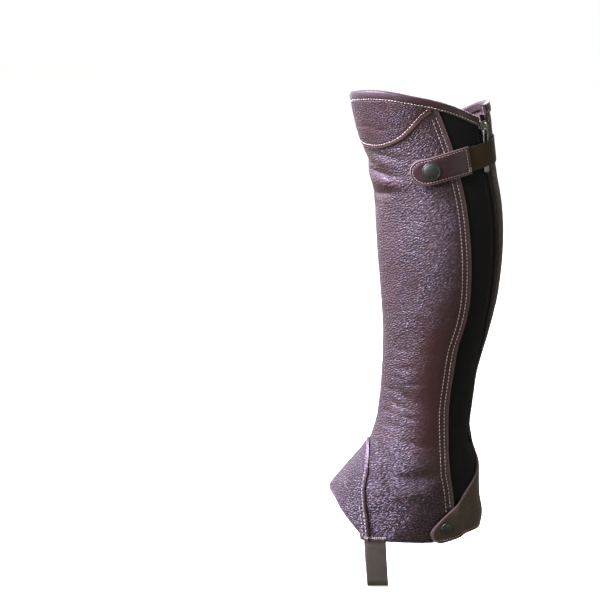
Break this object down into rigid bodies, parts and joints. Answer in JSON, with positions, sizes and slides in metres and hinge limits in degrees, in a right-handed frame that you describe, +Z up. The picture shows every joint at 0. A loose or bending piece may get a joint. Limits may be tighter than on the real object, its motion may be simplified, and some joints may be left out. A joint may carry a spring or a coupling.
{
  "type": "half chap for the left leg, worn shape",
  "caption": "Leather half chap in its worn shape: wraps the lower leg, closes with a zip beside an elastic panel, with a snapped knee strap, heel tab and stirrup strap.",
  "frame": {"origin": "on the leg's axis at the fullest part of the calf, where the chap grips the leg that holds it up", "axes": "+X towards the toe, +Y towards the outside of the leg, +Z up the leg"},
  "size_m": [0.1733, 0.1252, 0.4988],
  "materials": {
    "pebbled_leather": "tumbled full grain, soft sheen",
    "smooth_leather": "smooth, satin",
    "stretch_elastic": "fine ribbed elastic, matt",
    "webbing": "woven elastic webbing, matt",
    "zip_tape": "woven tape, matt",
    "zip_teeth": "moulded coil",
    "nickel": "plated, slightly worn",
    "gunmetal": "dark plated, polished rim"
  },
  "bodies": {
    "chap": {"front_panel": "pebbled_leather", "inner_panel": "pebbled_leather", "elastic_panel": "stretch_elastic", "knee_yoke": "pebbled_leather", "toe_extension": "pebbled_leather", "top_binding": "smooth_leather", "zip_tape_outer": "zip_tape", "zip_tape_inner": "zip_tape", "zip_chain": "zip_teeth", "zip_slider": "nickel", "strap_tab": "smooth_leather", "strap_elastic": "webbing", "upper_snap_cap": "gunmetal", "upper_snap_socket": "gunmetal", "upper_snap_stud": "gunmetal", "lower_snap_cap": "gunmetal", "lower_snap_socket": "gunmetal", "lower_snap_stud": "gunmetal", "stirrup_strap": "webbing"},
    "pull": {"zip_pull": "nickel"}
  },
  "joints": [
    {"name": "pull_swing", "type": "hinge", "parent": "chap", "child": "pull", "pos_m": [-0.04166, 0.03218, 0.10888], "axis": [0.6127, 0.7866, 0.0767], "range_deg": [0, 1.5]}
  ]
}
